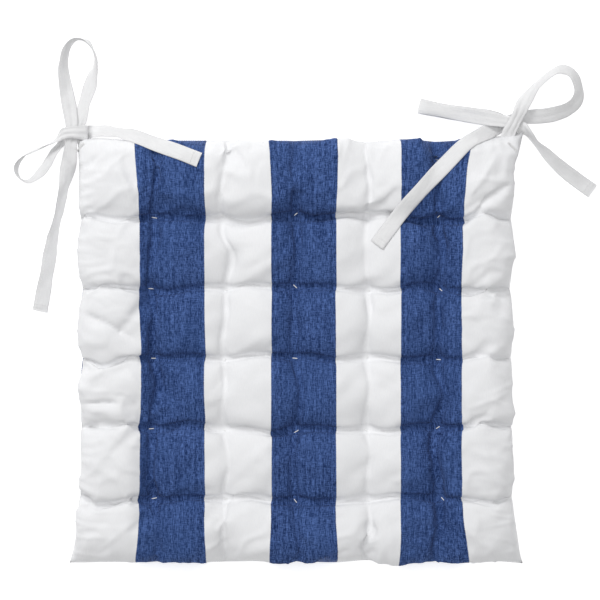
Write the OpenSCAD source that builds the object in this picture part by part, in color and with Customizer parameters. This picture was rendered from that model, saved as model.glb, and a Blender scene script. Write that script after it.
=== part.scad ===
// Tufted chair seat pad with a striped woven cover and two ties at each back corner.
// It lies on the XY plane. +Y is the back edge, where the ties are, +X is right and +Z is up.
// The origin is at the middle of the pad's underside.

/* [Pad] */
// Width of the pad halfway along its sides
pad_w = 400; // [380:5:420]
// Depth of the pad from its front edge to its back edge
pad_d = 390; // [370:5:410]
// How far the corners stand out past the middle of the left and right sides
side_pull = 6; // [0:1:10]
// Height of the padded crowns above the surface
crown_h = 40; // [36:1:44]
// Height of the sewn edge above the surface
seam_h = 15; // [13:1:18]

/* [Cover] */
// Thickness of the woven cover cloth
cloth_t = 0.8; // [0.5:0.1:1]
// Width of the flat lip where the two panels are sewn together
seam_lip = 2.5; // [2:0.5:4]
// Diameter of the sewing thread in the edge seam
seam_thread_d = 0.9; // [0.6:0.1:1]

/* [Tufting] */
// Spacing of the tufts from left to right
tuft_pitch_x = 65.5; // [63:0.5:67]
// Spacing of the tufts from front to back
tuft_pitch_y = 64.5; // [62:0.5:66]
// How far the grid of tufts sits in front of the middle of the pad
tuft_shift = 6; // [0:1:8]
// Height of the top cloth where a tuft pulls it down
dimple_top = 22; // [20:1:24]
// Height of the bottom cloth where a tuft pulls it up
dimple_bottom = 8; // [6:1:10]
// Diameter of the tufting thread
thread_d = 1.2; // [1:0.1:1.6]
// Length of the bar of thread that shows at each tuft
stitch_l = 5; // [4:0.5:7]

/* [Ties] */
// Width of the tie tape
tie_w = 14; // [12:0.5:15]
// Thickness of the folded tie tape
tie_t = 0.9; // [0.7:0.1:1]
// Length of the bar of stitches that holds each pair of ties
bartack_l = 10; // [8:1:12]

/* [Hidden] */
TUFTS = 5;                      // rows and columns of tufts
GRID_END = (TUFTS + 1) / 2;     // grid coordinate of the sewn edge; the tufts are at whole numbers
CREASE_RISE = 0.36;             // height of a crease between two tufts, as a share of a crown
EDGE_ROUND = 0.5;               // share of the outer puffs over which the edge rounds down
GAP = 0.3;                      // clearance between the padding and its cover
NEEDLE_HOLE = 1.9;              // hole that the tufting thread leaves in the cloth and padding
FLOOR_PRESS = 5;                // depth by which the underside of each puff is pressed flat
RING_STEPS = 3;                 // rings of a tie for each step of its route
TIE_CLEAR = 1.2;                // clearance of a tie above the cover it lies on

half_w = pad_w / 2 - seam_lip;
half_d = pad_d / 2 - seam_lip;
tuft_reach = (TUFTS - 1) / 2;
tuft_y0 = -tuft_shift;

// Grid coordinates of the surface points along one side: four steps to each puff and two more
// at each sewn edge
inner_lines = [for (i = [-4 * GRID_END + 1 : 4 * GRID_END - 1]) i / 4];
fill_lines = concat([-GRID_END + 0.1], inner_lines, [GRID_END - 0.1]);
panel_lines = concat([-GRID_END], fill_lines, [GRID_END]);

// Place of a grid coordinate c on an axis: tufts at even spacing, then one puff out to the edge
function place(c, pitch, mid, half) =
    abs(c) <= tuft_reach ? mid + pitch * c
    : let (side = sign(c), tuft = mid + side * tuft_reach * pitch)
      tuft + (abs(c) - tuft_reach) * (side * half - tuft);
function bow(share) = side_pull * pow(share, 4);
function place_y(b) = place(b, tuft_pitch_y, tuft_y0, half_d);
function place_x(a, b) = place(a, tuft_pitch_x, 0, half_w + bow(place_y(b) / half_d));
function plan(a, b) = [place_x(a, b), place_y(b)];

// Grid coordinate of a place on an axis
function grid_of(p, pitch, mid, half) =
    let (c = (p - mid) / pitch)
    abs(c) <= tuft_reach ? c
    : let (side = sign(c), tuft = mid + side * tuft_reach * pitch)
      side * min(GRID_END, tuft_reach + (p - tuft) / (side * half - tuft));

// Shape of the padding: 0 at a tuft, 1 at a crown, and a share that rounds down to 0 at the edge
function rise(c) = abs(c) > GRID_END - 0.5 ? 1 : abs(sin(180 * c));
function edge(c) =
    let (t = max(0, abs(c) - GRID_END + EDGE_ROUND) / EDGE_ROUND) t >= 1 ? 0 : sqrt(1 - t * t);
function puff(a, b) =
    CREASE_RISE * (1 - (1 - rise(a)) * (1 - rise(b))) + (1 - CREASE_RISE) * rise(a) * rise(b);
function top_z(a, b) =
    seam_h + cloth_t + edge(a) * edge(b)
        * (dimple_top - seam_h - cloth_t + (crown_h - dimple_top) * puff(a, b));
function bottom_z(a, b) =
    max(0, seam_h - cloth_t - edge(a) * edge(b)
        * (seam_h - cloth_t - dimple_bottom + (dimple_bottom + FLOOR_PRESS) * puff(a, b)));

// Faces of a closed sheet of n by n points over another n by n points
function cell_faces(n, first, up) = [for (j = [0 : n - 2], i = [0 : n - 2])
    let (p = first + j * n + i)
    each up ? [[p, p + n, p + n + 1], [p, p + n + 1, p + 1]]
            : [[p, p + n + 1, p + n], [p, p + 1, p + n + 1]]];
function rim_of(n) = concat(
    [for (i = [0 : n - 2]) i], [for (j = [0 : n - 2]) j * n + n - 1],
    [for (i = [n - 1 : -1 : 1]) (n - 1) * n + i], [for (j = [n - 1 : -1 : 1]) j * n]);
function rim_faces(n) = let (rim = rim_of(n), m = len(rim), under = n * n)
    [for (k = [0 : m - 1]) let (a = rim[k], b = rim[(k + 1) % m])
        each [[a, b, b + under], [a, b + under, a + under]]];

// A closed solid between an upper and a lower surface, both given as n by n points
module sheet_solid(upper, lower, n) {
    polyhedron(concat(upper, lower),
        concat(cell_faces(n, 0, true), cell_faces(n, n * n, false), rim_faces(n)));
}

// The surface points of the cover, with the flat lip of the seam as the outermost ring
function lip_out(c) = abs(c) >= GRID_END ? sign(c) * seam_lip : 0;
function with_lip(lines) = concat([-GRID_END - 1], lines, [GRID_END + 1]);
function clip(c) = max(-GRID_END, min(GRID_END, c));
function lip_place(a, b) = plan(clip(a), clip(b))
    + [abs(a) > GRID_END ? lip_out(a) : 0, abs(b) > GRID_END ? lip_out(b) : 0];
function lip_grid(kind, lift) = let (lines = with_lip(panel_lines))
    [for (b = lines, a = lines) let (p = lip_place(a, b), u = clip(a), v = clip(b))
        [p.x, p.y, (kind == "top" ? top_z(u, v) : bottom_z(u, v)) + lift]];
function fill_grid(kind, lift) = [for (b = fill_lines, a = fill_lines) let (p = plan(a, b))
    [p.x, p.y, (kind == "top" ? top_z(a, b) : bottom_z(a, b)) + lift]];

// Tufts are numbered from the left (column) and from the back (row)
function tuft_at(row, column) =
    [(column - 1 - tuft_reach) * tuft_pitch_x, tuft_y0 + (tuft_reach + 1 - row) * tuft_pitch_y];
function tuft_turn(row, column) = column == 1 ? 5 * row - 15 : (37 * row + 61 * column) % 120 - 60;
function tuft_name(row, column) = str("tuft_thread_", row, "_", column);

// Routes of the ties, which leave the two back corners, pass through a bow and end loose.
// Each row is a point on the middle of the tape and the direction in which its width lies.
left_upper_route = [
    [[-203, 192, 15.5], [1, 0.2, 0]], [[-204, 202, 16], [1, 0, 0]], [[-200, 214, 14], [1, 0, 0.2]],
    [[-196, 231, 10], [0.9, 0, 0.4]], [[-190, 250, 8], [0.8, 0, 0.6]], [[-186, 268, 8], [0.5, 0, 0.9]],
    [[-189, 281, 8], [0.2, 0.1, 1]], [[-196, 289, 8], [0, 0, 1]], [[-206, 289, 8], [0, 0, 1]],
    [[-213, 280, 8], [-0.2, 0, 1]], [[-216, 262, 8], [-0.7, 0, 0.7]], [[-214, 245, 8], [-0.9, 0, 0.5]],
    [[-211, 230, 11], [-1, 0, 0.3]], [[-208, 215, 16], [-1, 0, 0]], [[-207, 202, 18], [-1, 0, 0]],
    [[-208, 189, 18], [-1, 0, 0]], [[-210, 176, 14], [-1, 0.2, 0.1]], [[-214, 160, 8], [-0.8, 0.2, 0.5]],
    [[-219, 140, 6], [-0.6, 0.1, 0.8]], [[-226, 106, 6], [-0.6, 0.1, 0.8]],
    [[-231, 78, 5], [-0.8, 0.2, 0.6]], [[-236, 52, 3], [-0.9, 0.2, 0.3]], [[-239, 37, 1], [-1, 0.2, 0.1]]];
left_lower_route = [
    [[-206, 197, 13.6], [0.2, -1, 0]], [[-198, 201, 12.5], [0, -1, 0]], [[-193, 202, 16.5], [0, -1, 0]],
    [[-199, 202, 21], [0, -1, 0]], [[-207, 202, 22.5], [0, -1, 0]], [[-214.5, 201, 20.5], [0.1, -1, 0.1]],
    [[-219.5, 198, 15], [0.2, -0.7, 0.7]], [[-227, 193, 10.5], [0.2, -0.3, 0.9]],
    [[-240, 188, 8], [0.1, -0.2, 1]], [[-253, 181, 8], [0.1, -0.1, 1]], [[-260, 170, 8], [0, 0, 1]],
    [[-256, 160, 8], [0, 0, 1]], [[-247, 159, 8], [0.1, -0.4, 0.9]], [[-236, 169, 7], [0.4, -0.5, 0.8]],
    [[-226, 183, 8], [0.5, -0.4, 0.8]], [[-219, 192, 8], [0.4, -0.6, 0.7]], [[-212, 198, 7], [0.2, -1, 0.2]],
    [[-203, 201, 7.5], [0, -1, 0]], [[-194, 203, 7.5], [0, -1, 0.1]], [[-184, 204, 11], [0, -0.6, 0.8]],
    [[-170, 203, 18], [0, -0.6, 0.8]], [[-152, 199, 22], [-0.2, -0.8, 0.5]],
    [[-130, 191, 27], [-0.3, -1, 0.1]], [[-108, 183, 34], [-0.3, -1, 0]], [[-88, 175, 37], [-0.4, -0.9, 0]]];
right_lower_route = [
    [[201, 196, 13], [0.9, -0.2, 0]], [[200, 206, 10], [0.9, 0.4, 0]], [[193, 213, 11], [0.4, 0.9, 0]],
    [[181, 216, 14], [0.2, 1, 0]], [[163, 219, 8], [0.2, 1, 0]], [[143, 223, 2], [0.2, 1, 0]],
    [[123, 227, 1], [0.2, 1, 0]], [[115, 228.5, 3.2], [0.2, 1, 0]], [[121, 227, 5.8], [0.2, 1, 0]],
    [[141, 223, 6.6], [0.2, 1, 0]], [[162, 219, 11], [0.2, 1, 0]], [[181, 215, 16], [0.2, 1, 0]],
    [[197, 212, 17.6], [0.3, 1, 0]], [[206, 208, 17.6], [0.6, 0.8, 0.1]], [[214, 202, 16], [0.4, 0.4, 0.9]],
    [[223, 193, 10], [0.3, 0.3, 0.9]], [[243, 174, 6], [0.5, 0.5, 0.7]], [[264, 158, 2], [0.7, 0.7, 0.2]],
    [[277, 149, 1], [0.7, 0.7, 0.1]]];
right_upper_route = [
    [[194, 192, 15], [0.9, -0.3, 0]], [[196, 201, 19.5], [0.9, -0.4, 0]], [[200, 209, 22], [0.9, -0.5, 0]],
    [[205, 219, 21], [0.9, -0.5, 0]], [[210, 229, 17], [0.7, -0.4, 0.5]], [[216, 239, 12], [0.5, -0.3, 0.8]],
    [[226, 250, 8], [0.2, -0.2, 1]], [[240, 260, 8], [0, -0.5, 0.9]], [[250, 262, 8], [-0.2, -0.7, 0.7]],
    [[258, 257, 8], [-0.6, -0.5, 0.6]], [[263, 244, 7], [-0.8, -0.1, 0.6]], [[261, 233, 7], [-0.8, 0.4, 0.5]],
    [[252, 225, 7], [-0.4, 0.7, 0.6]], [[237, 220, 7], [-0.1, 0.8, 0.5]], [[220, 218, 8], [0, 0.9, 0.2]],
    [[208, 217, 8.5], [0, 1, 0]], [[196, 213, 8.5], [-0.2, 1, 0]], [[185, 207, 9.5], [-0.5, 0.9, 0]],
    [[171, 200, 16.5], [-0.6, 0.8, 0]], [[156, 191, 24], [-0.7, 0.7, 0]], [[137, 172, 36], [-0.7, 0.7, 0]],
    [[118, 152, 40], [-0.8, 0.7, 0]], [[100, 132, 35], [-0.8, 0.7, 0]], [[86, 114, 36], [-0.8, 0.7, 0]],
    [[74, 98, 39], [-0.8, 0.7, 0]]];
TIES = [["tie_left_upper", left_upper_route], ["tie_left_lower", left_lower_route],
    ["tie_right_upper", right_upper_route], ["tie_right_lower", right_lower_route]];

function unit(v) = v / norm(v);
function blend4(a, b, c, d, t) =
    0.5 * (2 * b + (c - a) * t + (2 * a - 5 * b + 4 * c - d) * t * t + (3 * b - a - 3 * c + d) * t * t * t);
function route_at(route, k, s) = let (last = len(route) - 1, i = min(floor(s), last - 1))
    blend4(route[max(i - 1, 0)][k], route[i][k], route[i + 1][k], route[min(i + 2, last)][k], s - i);

// Lowest height at which a tape of this tilt clears the surface and the cover under it
function rest_z(p, tilt) = let (
    drop = tie_w / 2 * abs(tilt) + tie_t / 2 * sqrt(max(0, 1 - tilt * tilt)),
    v = grid_of(p.y, tuft_pitch_y, tuft_y0, half_d),
    u = grid_of(p.x, tuft_pitch_x, 0, half_w + bow(p.y / half_d)),
    over_pad = abs(p.x) < half_w && p.y < half_d - 4)
    over_pad ? max(drop, top_z(u, v) + tie_t / 2 + TIE_CLEAR) : drop;

// Rounded cross-section of the tape, as shares of its width and thickness
TAPE_SECTION = [[-0.5, -0.2], [-0.47, -0.5], [0.47, -0.5], [0.5, -0.2],
    [0.5, 0.2], [0.47, 0.5], [-0.47, 0.5], [-0.5, 0.2]];
module tape(route) {
    rings = (len(route) - 1) * RING_STEPS + 1;
    sides = len(TAPE_SECTION);
    points = [for (r = [0 : rings - 1]) let (
        s = r / RING_STEPS,
        p = route_at(route, 0, s),
        along = unit(route_at(route, 0, min(s + 0.1, len(route) - 1)) - route_at(route, 0, max(s - 0.1, 0))),
        raw = route_at(route, 1, s),
        across = unit(raw - (raw * along) * along),
        normal = cross(along, across),
        mid = [p.x, p.y, max(p.z, rest_z(p, across.z))])
        each [for (c = TAPE_SECTION) mid + c.x * tie_w * across + c.y * tie_t * normal]];
    // Both faces are cut along the same diagonals, so that a twisted stretch keeps its thickness
    walls = [for (r = [0 : rings - 2], k = [0 : sides - 1]) let (
        a = r * sides + k, b = r * sides + (k + 1) % sides)
        each k < sides / 2 ? [[a, b, b + sides], [a, b + sides, a + sides]]
                           : [[a, b, a + sides], [b, b + sides, a + sides]]];
    ends = [[for (k = [sides - 1 : -1 : 0]) k], [for (k = [0 : sides - 1]) (rings - 1) * sides + k]];
    polyhedron(points, concat(walls, ends));
}

module needle_holes() {
    for (row = [1 : TUFTS], column = [1 : TUFTS])
        translate(concat(tuft_at(row, column), [-1])) cylinder(d = NEEDLE_HOLE, h = crown_h, $fn = 8);
}

// The upper half of the cover, quilted into puffs by the tufts
module top_panel() {
    n = len(panel_lines) + 2;
    color("lightsteelblue") difference() {
        sheet_solid(lip_grid("top", 0), lip_grid("top", -cloth_t), n);
        needle_holes();
    }
}

// The lower half of the cover, pressed flat under each puff
module bottom_panel() {
    n = len(panel_lines) + 2;
    color("lightsteelblue") difference() {
        sheet_solid(lip_grid("bottom", cloth_t), lip_grid("bottom", 0), n);
        needle_holes();
    }
}

// The wadding inside the cover
module filling() {
    color("ivory") difference() {
        sheet_solid(fill_grid("top", -cloth_t - GAP), fill_grid("bottom", cloth_t + GAP), len(fill_lines));
        needle_holes();
    }
}

// The thread that joins the two panels all round, just inside the lip
module edge_seam() {
    inset = seam_thread_d;
    color("white") translate([0, 0, seam_h - seam_thread_d / 2]) linear_extrude(seam_thread_d)
        difference() {
            seam_outline(inset);
            seam_outline(inset + seam_thread_d);
        }
}
module seam_outline(inset) {
    ring = [for (k = rim_of(len(panel_lines)))
        plan(panel_lines[k % len(panel_lines)], panel_lines[floor(k / len(panel_lines))])];
    polygon([for (p = ring) [p.x * (1 - inset / half_w), p.y * (1 - inset / half_d)]]);
}

// One tuft: thread through the pad, with a bar of stitches on the top and on the underside
module tuft_thread(row, column) {
    bottom_bar = dimple_bottom - thread_d;
    top_bar = dimple_top + thread_d;
    color("white") translate(concat(tuft_at(row, column), [0])) {
        translate([0, 0, bottom_bar]) cylinder(d = thread_d, h = top_bar - bottom_bar, $fn = 24);
        for (z = [bottom_bar, top_bar])
            translate([0, 0, z]) rotate([0, 0, tuft_turn(row, column)]) stitch_bar();
    }
}
module stitch_bar() {
    rotate([0, 90, 0]) cylinder(d = thread_d, h = stitch_l, center = true, $fn = 24);
    for (end = [-1, 1]) translate([end * stitch_l / 2, 0, 0]) sphere(d = thread_d, $fn = 24);
}

// The bar of stitches that closes the corner of the cover over a pair of ties
module bartack(side) {
    corner = GRID_END - 0.06;
    bar_d = 1.6;
    color("white") translate(concat(plan(side * corner, corner), [top_z(corner, corner) + bar_d / 2 + GAP]))
        rotate([0, 0, -45 * side]) {
            rotate([0, 90, 0]) cylinder(d = bar_d, h = bartack_l, center = true, $fn = 24);
            for (end = [-1, 1]) translate([end * bartack_l / 2, 0, 0]) sphere(d = bar_d, $fn = 24);
        }
}

top_panel();
bottom_panel();
filling();
edge_seam();
for (row = [1 : TUFTS], column = [1 : TUFTS])
    tuft_thread(row, column);
for (tie = TIES)
    color("whitesmoke") tape(tie[1]);
bartack(-1);  // bartack_left
bartack(1);  // bartack_right
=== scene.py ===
"""Looks of a tufted chair seat pad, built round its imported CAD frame.

Metres. The pad lies on the XY plane: +Y is its back edge, where the ties are, and +X is right.
"""

import math

import bpy
import numpy as np
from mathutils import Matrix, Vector
from mathutils.bvhtree import BVHTree


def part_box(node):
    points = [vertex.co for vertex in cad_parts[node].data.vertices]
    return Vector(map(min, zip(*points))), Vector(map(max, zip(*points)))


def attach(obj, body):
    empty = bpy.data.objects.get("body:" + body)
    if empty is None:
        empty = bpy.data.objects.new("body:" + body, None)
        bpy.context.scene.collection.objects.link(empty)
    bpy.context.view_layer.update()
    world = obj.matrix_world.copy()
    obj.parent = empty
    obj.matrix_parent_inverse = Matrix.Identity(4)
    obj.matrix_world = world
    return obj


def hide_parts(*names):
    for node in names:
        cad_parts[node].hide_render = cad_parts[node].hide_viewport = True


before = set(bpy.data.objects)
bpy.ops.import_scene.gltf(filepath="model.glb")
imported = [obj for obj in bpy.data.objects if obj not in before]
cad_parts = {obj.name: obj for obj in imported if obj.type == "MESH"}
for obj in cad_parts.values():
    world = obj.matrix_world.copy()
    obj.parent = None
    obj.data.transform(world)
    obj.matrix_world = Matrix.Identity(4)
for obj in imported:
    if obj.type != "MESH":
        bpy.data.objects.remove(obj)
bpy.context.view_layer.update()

# Camera: straight above the pad, with the back edge at the top of the picture
CAMERA_PLACE = (0.0037, 0.0476, 1.557)
CAMERA_LENS = 100         # mm
CAMERA_SENSOR = 36        # mm
FLOOR_HALF = 3.0          # half the width of the floor,
FLOOR_DROP = 0.0002       # and how far it lies under the pad

# Cloth of the cover
STRIPE_PERIOD = 0.1200    # one blue and one white stripe
STRIPE_BLUE = 0.0310      # half the width of a blue stripe
STRIPE_MIDDLE = 0.0062    # middle of the centre blue stripe
DRIFT = 0.0013            # how far the stripes stray from an even spacing,
DRIFT_PERIOD = 0.36       # and the width over which they do
GATHER = 0.0014           # how much the tufts in a blue stripe gather it
CLOTH = 0.0007            # thickness
THREAD_PITCH = 0.00055    # spacing of the threads in the cover's weave,
TIE_PITCH = 0.0005        # and in the ties'

# Pad
TUFTS = 5                 # rows, and columns
PUFF_CELLS = 16           # cells of the cloth mesh between two tufts,
MARGIN_CELLS = 18         # and between an outer tuft and the seam
SEAM_HEIGHT = 0.015
START_HALF = 0.007        # before it swells: half its thickness at a tuft,
START_CROWN = 0.012       # and what a puff adds on top
START_BELLY = 0.006       # and below
SWOLLEN_HEIGHT = 0.0460   # highest point of the cover as it swells up,
CROWN_HEIGHT = 0.0425     # and the height that it settles to
SEAM_INSET = 0.0025       # the cloth swells, so it starts this much smaller than the CAD panel
CORNER_PULLS = {"left": (0.0045, 0.0025), "right": (0.0045, 0.0085)}  # the back corners follow their knots
NECK = 0.0035             # depth of the nick in the right side below its knot
SIDE_PULL = 0.006         # how far the corners stand out past the middle of the left and right sides
EAR = 0.0045              # length of the little points that the front corners are sewn to
SWELL_FRAMES = 24

# Creases: they lie along the rows and the columns of tufts
ROW_CREASE = 0.0056       # depth along a row,
COLUMN_CREASE = 0.0062    # along a column,
TUFT_DIMPLE = 0.0022      # and what a tuft adds to both
SLACK_COLUMNS = 0.35      # how much shallower the creases in the white stripes are
MOST_UNEVEN = 1.4         # how much deeper than usual a crease between columns can be
DEEPEST = {"top": 0.0068, "bottom": 0.0030}  # most that a crease or tuft draws the swollen cloth in
# How far each row, from the front, and each column, from the left, draws in the cloth beside it
ROW_DRAW = (0.72,) * TUFTS
COLUMN_DRAW = (0.62, 0.42, 0.62, 0.42, 0.62)
TUFT_SPREAD = 0.07        # how far a tuft's dimple reaches, in grid steps
WADDING_CLEAR = 0.0016    # from the outside of the cover to the wadding

# Larger folds of the margins: start, end, height (below 0 for a valley) and width
FOLDS = [
    ((-0.170, 0.182), (-0.143, 0.120), 0.0040, 0.0040),
    ((-0.201, 0.039), (-0.139, 0.004), -0.0062, 0.0030),
    ((-0.198, -0.047), (-0.158, -0.048), -0.0065, 0.0024),
    ((-0.203, 0.166), (-0.178, 0.178), -0.0045, 0.0024),
    ((-0.196, 0.110), (-0.166, 0.088), 0.0014, 0.0042),
    ((-0.200, -0.098), (-0.158, -0.118), 0.0014, 0.0042),
    ((0.190, 0.190), (0.150, 0.134), 0.0034, 0.0040),
    ((0.204, 0.160), (0.146, 0.128), -0.0018, 0.0034),
    ((0.203, 0.050), (0.144, 0.060), -0.0050, 0.0026),
    ((0.200, -0.034), (0.150, -0.052), 0.0020, 0.0036),
    ((0.202, -0.100), (0.150, -0.086), 0.0018, 0.0036),
    ((0.190, -0.188), (0.140, -0.148), 0.0018, 0.0040),
    ((-0.188, -0.188), (-0.138, -0.150), 0.0018, 0.0040),
]

# Sewing threads
TUFT_BAR = 0.0021         # half the length of the bar of thread that shows at a tuft
TUFT_THREAD = 0.00042     # radius of the thread
CORNER_TURNS = 15         # zigzags of the bar of stitches over a back corner,
CORNER_HALF = 0.0011      # half its width,
CORNER_THREAD = 0.00028   # and the radius of its thread
STITCH = 0.0021           # length of a stitch along a tie,
STITCH_GAP = 0.0009       # and the gap after it

# Ties
TAPE_W = 0.014
TAPE_T = 0.0011
TAPE_STEPS = 6            # rings for each step of a tie's route
TAPE_SIDES = 12           # steps across one face of a tie
EDGE_ROW = 0.36           # place of the long row of stitches, as a share of the width from the middle
HEM = 0.0085              # length of the hem at a loose end,
HEM_ROW = 0.0065          # and from its stitches to the end
STITCH_ROOM = 0.0006      # the stitches on its underside keep a tie this far off the surface
TAPE_REST = 0.0009        # gap between a tie and the cover that it lies on
ON_PAD = {"left_lower": 0.80, "right_upper": 0.72}  # share of the tie that comes before its end on the pad
KNOTS = {"left": (-0.2075, 0.202), "right": (0.203, 0.2105)}

# Routes of the ties: each row is a point on the middle of the tape and the direction of its width
TIE_ROUTES = {
    "left_upper": [
        ((-0.203, 0.192, 0.0155), (1, 0.2, 0)), ((-0.204, 0.202, 0.016), (1, 0, 0)),
        ((-0.2, 0.214, 0.014), (1, 0, 0.2)), ((-0.196, 0.231, 0.01), (0.9, 0, 0.4)),
        ((-0.19, 0.25, 0.008), (0.8, 0, 0.6)), ((-0.186, 0.268, 0.008), (0.5, 0, 0.9)),
        ((-0.189, 0.281, 0.008), (0.2, 0.1, 1)), ((-0.196, 0.289, 0.008), (0, 0, 1)),
        ((-0.206, 0.289, 0.008), (0, 0, 1)), ((-0.213, 0.28, 0.008), (-0.2, 0, 1)),
        ((-0.216, 0.262, 0.008), (-0.7, 0, 0.7)), ((-0.214, 0.245, 0.008), (-0.9, 0, 0.5)),
        ((-0.211, 0.23, 0.011), (-1, 0, 0.3)), ((-0.208, 0.215, 0.016), (-1, 0, 0)),
        ((-0.207, 0.202, 0.018), (-1, 0, 0)), ((-0.208, 0.189, 0.018), (-1, 0, 0)),
        ((-0.21, 0.176, 0.014), (-1, 0.2, 0.1)), ((-0.214, 0.16, 0.008), (-0.8, 0.2, 0.5)),
        ((-0.219, 0.14, 0.006), (-0.6, 0.1, 0.8)), ((-0.226, 0.106, 0.006), (-0.6, 0.1, 0.8)),
        ((-0.231, 0.078, 0.005), (-0.8, 0.2, 0.6)), ((-0.236, 0.052, 0.003), (-0.9, 0.2, 0.3)),
        ((-0.239, 0.037, 0.001), (-1, 0.2, 0.1)),
    ],
    "left_lower": [
        ((-0.206, 0.197, 0.0136), (0.2, -1, 0)), ((-0.198, 0.201, 0.0125), (0, -1, 0)),
        ((-0.193, 0.202, 0.0165), (0, -1, 0)), ((-0.199, 0.202, 0.021), (0, -1, 0)),
        ((-0.207, 0.202, 0.0225), (0, -1, 0)), ((-0.2145, 0.201, 0.0205), (0.1, -1, 0.1)),
        ((-0.2195, 0.198, 0.015), (0.2, -0.7, 0.7)), ((-0.227, 0.193, 0.0105), (0.2, -0.3, 0.9)),
        ((-0.24, 0.188, 0.008), (0.1, -0.2, 1)), ((-0.253, 0.181, 0.008), (0.1, -0.1, 1)),
        ((-0.26, 0.17, 0.008), (0, 0, 1)), ((-0.256, 0.16, 0.008), (0, 0, 1)),
        ((-0.247, 0.159, 0.008), (0.1, -0.4, 0.9)), ((-0.236, 0.169, 0.007), (0.4, -0.5, 0.8)),
        ((-0.226, 0.183, 0.008), (0.5, -0.4, 0.8)), ((-0.219, 0.192, 0.008), (0.4, -0.6, 0.7)),
        ((-0.212, 0.198, 0.007), (0.2, -1, 0.2)), ((-0.203, 0.201, 0.0075), (0, -1, 0)),
        ((-0.194, 0.203, 0.0075), (0, -1, 0.1)), ((-0.184, 0.204, 0.011), (0, -0.6, 0.8)),
        ((-0.17, 0.203, 0.018), (0, -0.6, 0.8)), ((-0.152, 0.199, 0.022), (-0.2, -0.8, 0.5)),
        ((-0.13, 0.191, 0.027), (-0.3, -1, 0.1)), ((-0.108, 0.183, 0.034), (-0.3, -1, 0)),
        ((-0.088, 0.175, 0.037), (-0.4, -0.9, 0)),
    ],
    "right_lower": [
        ((0.201, 0.196, 0.013), (0.9, -0.2, 0)), ((0.2, 0.206, 0.01), (0.9, 0.4, 0)),
        ((0.193, 0.213, 0.011), (0.4, 0.9, 0)), ((0.181, 0.216, 0.014), (0.2, 1, 0)),
        ((0.163, 0.219, 0.008), (0.2, 1, 0)), ((0.143, 0.223, 0.002), (0.2, 1, 0)),
        ((0.123, 0.227, 0.001), (0.2, 1, 0)), ((0.115, 0.2285, 0.0032), (0.2, 1, 0)),
        ((0.121, 0.227, 0.0058), (0.2, 1, 0)), ((0.141, 0.223, 0.0066), (0.2, 1, 0)),
        ((0.162, 0.219, 0.011), (0.2, 1, 0)), ((0.181, 0.215, 0.016), (0.2, 1, 0)),
        ((0.197, 0.212, 0.0176), (0.3, 1, 0)), ((0.206, 0.208, 0.0176), (0.6, 0.8, 0.1)),
        ((0.214, 0.202, 0.016), (0.4, 0.4, 0.9)), ((0.223, 0.193, 0.01), (0.3, 0.3, 0.9)),
        ((0.243, 0.174, 0.006), (0.5, 0.5, 0.7)), ((0.264, 0.158, 0.002), (0.7, 0.7, 0.2)),
        ((0.277, 0.149, 0.001), (0.7, 0.7, 0.1)),
    ],
    "right_upper": [
        ((0.194, 0.192, 0.015), (0.9, -0.3, 0)), ((0.196, 0.201, 0.0195), (0.9, -0.4, 0)),
        ((0.2, 0.209, 0.022), (0.9, -0.5, 0)), ((0.205, 0.219, 0.021), (0.9, -0.5, 0)),
        ((0.21, 0.229, 0.017), (0.7, -0.4, 0.5)), ((0.216, 0.239, 0.012), (0.5, -0.3, 0.8)),
        ((0.226, 0.25, 0.008), (0.2, -0.2, 1)), ((0.24, 0.26, 0.008), (0, -0.5, 0.9)),
        ((0.25, 0.262, 0.008), (-0.2, -0.7, 0.7)), ((0.258, 0.257, 0.008), (-0.6, -0.5, 0.6)),
        ((0.263, 0.244, 0.007), (-0.8, -0.1, 0.6)), ((0.261, 0.233, 0.007), (-0.8, 0.4, 0.5)),
        ((0.252, 0.225, 0.007), (-0.4, 0.7, 0.6)), ((0.237, 0.22, 0.007), (-0.1, 0.8, 0.5)),
        ((0.22, 0.218, 0.008), (0, 0.9, 0.2)), ((0.208, 0.217, 0.0085), (0, 1, 0)),
        ((0.196, 0.213, 0.0085), (-0.2, 1, 0)), ((0.185, 0.207, 0.0095), (-0.5, 0.9, 0)),
        ((0.171, 0.2, 0.0165), (-0.6, 0.8, 0)), ((0.156, 0.191, 0.024), (-0.7, 0.7, 0)),
        ((0.137, 0.172, 0.036), (-0.7, 0.7, 0)), ((0.118, 0.152, 0.04), (-0.8, 0.7, 0)),
        ((0.1, 0.132, 0.035), (-0.8, 0.7, 0)), ((0.086, 0.114, 0.036), (-0.8, 0.7, 0)),
        ((0.074, 0.098, 0.039), (-0.8, 0.7, 0)),
    ],
}


# ---------------- small tools

def make_object(name, points, faces):
    """A smooth-shaded mesh object."""
    mesh = bpy.data.meshes.new(name)
    mesh.from_pydata([tuple(map(float, p)) for p in points], [], faces)
    mesh.validate()
    mesh.update()
    mesh.polygons.foreach_set("use_smooth", [True] * len(mesh.polygons))
    made = bpy.data.objects.new(name, mesh)
    bpy.context.collection.objects.link(made)
    return made


def store(made, name, values):
    """Keeps a vector at each vertex, for the material to read."""
    layer = made.data.attributes.new(name, "FLOAT_VECTOR", "POINT")
    layer.data.foreach_set("vector", np.asarray(values, np.float32).ravel())


def unit(v):
    return v / np.maximum(np.linalg.norm(v, axis=-1, keepdims=True), 1e-12)


def soft_field(rng, x, y, shortest, longest, size, waves=24):
    """A smooth random field: sine waves of many lengths and directions, added up."""
    total = np.zeros_like(x)
    for _ in range(waves):
        length = rng.uniform(shortest, longest)
        turn = rng.uniform(0, 2 * np.pi)
        phase = rng.uniform(0, 2 * np.pi)
        total += np.sin(2 * np.pi * (x * np.cos(turn) + y * np.sin(turn)) / length + phase)
    return total * size / math.sqrt(waves / 2)


def along_path(points):
    """How far along a path each of its points is."""
    return np.concatenate([[0], np.cumsum(np.linalg.norm(np.diff(points, axis=0), axis=1))])


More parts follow.
